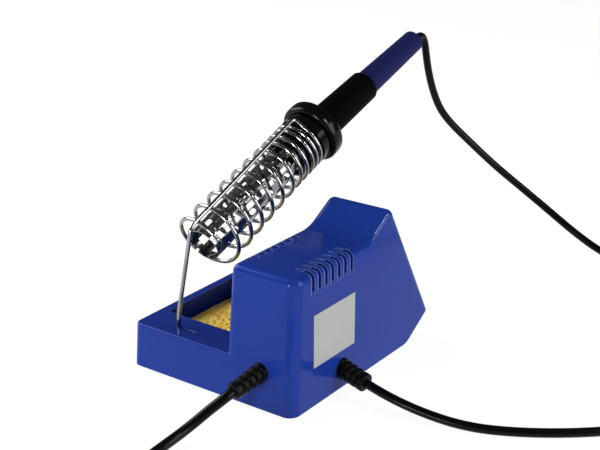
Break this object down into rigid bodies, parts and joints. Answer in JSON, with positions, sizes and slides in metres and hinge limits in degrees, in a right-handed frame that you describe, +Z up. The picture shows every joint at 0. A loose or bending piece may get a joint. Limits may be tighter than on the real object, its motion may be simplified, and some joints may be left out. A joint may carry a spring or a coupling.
{
  "type": "soldering iron station",
  "caption": "Bench soldering station: blue housing with a sponge tray, wire-coil holder with the iron resting in it, dial and rocker panel, iron lead and mains lead",
  "frame": {"origin": "middle of the station's footprint, on the bench under its rubber feet", "axes": "+Z up, -Y towards the front panel, where the iron is drawn out, +X towards the sponge tray"},
  "size_m": [0.2956, 0.4861, 0.1671],
  "materials": {
    "blue_shell": "moulded ABS, glossy royal blue",
    "black_base": "moulded black, satin",
    "zinc_screw": "zinc plated",
    "foot_rubber": "soft rubber",
    "label": "blank film",
    "sponge": "open-pored cellulose, ochre",
    "panel": "satin black with pale dial marks",
    "black_knob": "black",
    "shaft_metal": "turned",
    "lamp": "translucent red",
    "board": "green laminate",
    "components": "moulded components",
    "lamination": "varnished laminations",
    "winding": "taped copper winding",
    "bracket": "zinc plated",
    "chrome_wire": "bright plated wire",
    "liner": "perforated sheet",
    "collar": "heat resistant black",
    "handle": "dark blue",
    "grip": "black sleeve",
    "nose": "phenolic",
    "barrel": "stainless",
    "ceramic": "ceramic",
    "tip": "plated",
    "gland": "black",
    "cord": "black flexible cord",
    "tie": "black strap",
    "plug": "black",
    "pin": "plated brass"
  },
  "bodies": {
    "station": {"upper_housing": "blue_shell", "base_plate": "black_base", "base_screws": "zinc_screw", "transformer_screws": "zinc_screw", "potentiometer_nut": "zinc_screw", "rubber_feet": "foot_rubber", "rating_label": "label", "control_panel": "panel", "switch_frame": "black_knob", "potentiometer": "black_knob", "indicator_lamp": "lamp", "control_board": "board", "board_components": "components", "transformer_core": "lamination", "transformer_winding": "winding", "transformer_bracket": "bracket", "holder_coil": "chrome_wire", "holder_leg": "chrome_wire", "holder_liner": "liner", "holder_collar": "collar", "mains_strain_relief": "gland", "iron_strain_relief": "gland", "iron_lead_floor": "cord", "iron_lead_return": "cord", "iron_coil": "cord", "mains_lead": "cord", "plug_lead": "cord", "mains_coil": "cord", "iron_tie": "tie", "mains_tie": "tie", "mains_plug": "plug", "plug_pins": "pin"},
    "iron": {"iron_handle": "handle", "grip_sleeve": "grip", "iron_nose": "nose", "iron_barrel": "barrel", "heating_element": "ceramic", "soldering_tip": "tip", "tip_nut": "barrel", "iron_lead_hanging": "cord"},
    "sponge": {"sponge": "sponge"},
    "knob": {"temperature_knob": "black_knob", "potentiometer_shaft": "shaft_metal"},
    "rocker": {"power_rocker": "black_knob"}
  },
  "joints": [
    {"name": "iron_withdraw", "type": "slide", "parent": "station", "child": "iron", "axis": [-0.0383, -0.944, 0.3279], "range_m": [0, 0.13], "deforming": ["iron_lead_hanging"]},
    {"name": "sponge_lift", "type": "slide", "parent": "station", "child": "sponge", "axis": [0, 0, 1], "range_m": [0, 0.03]},
    {"name": "temperature_turn", "type": "hinge", "parent": "station", "child": "knob", "pos_m": [-0.036, 0.00581, 0.06146], "axis": [0, -0.8704, 0.4924], "range_deg": [-135, 135]},
    {"name": "power_rock", "type": "hinge", "parent": "station", "child": "rocker", "pos_m": [-0.036, -0.00705, 0.03427], "axis": [-1, 0, 0], "range_deg": [0, 20]}
  ]
}
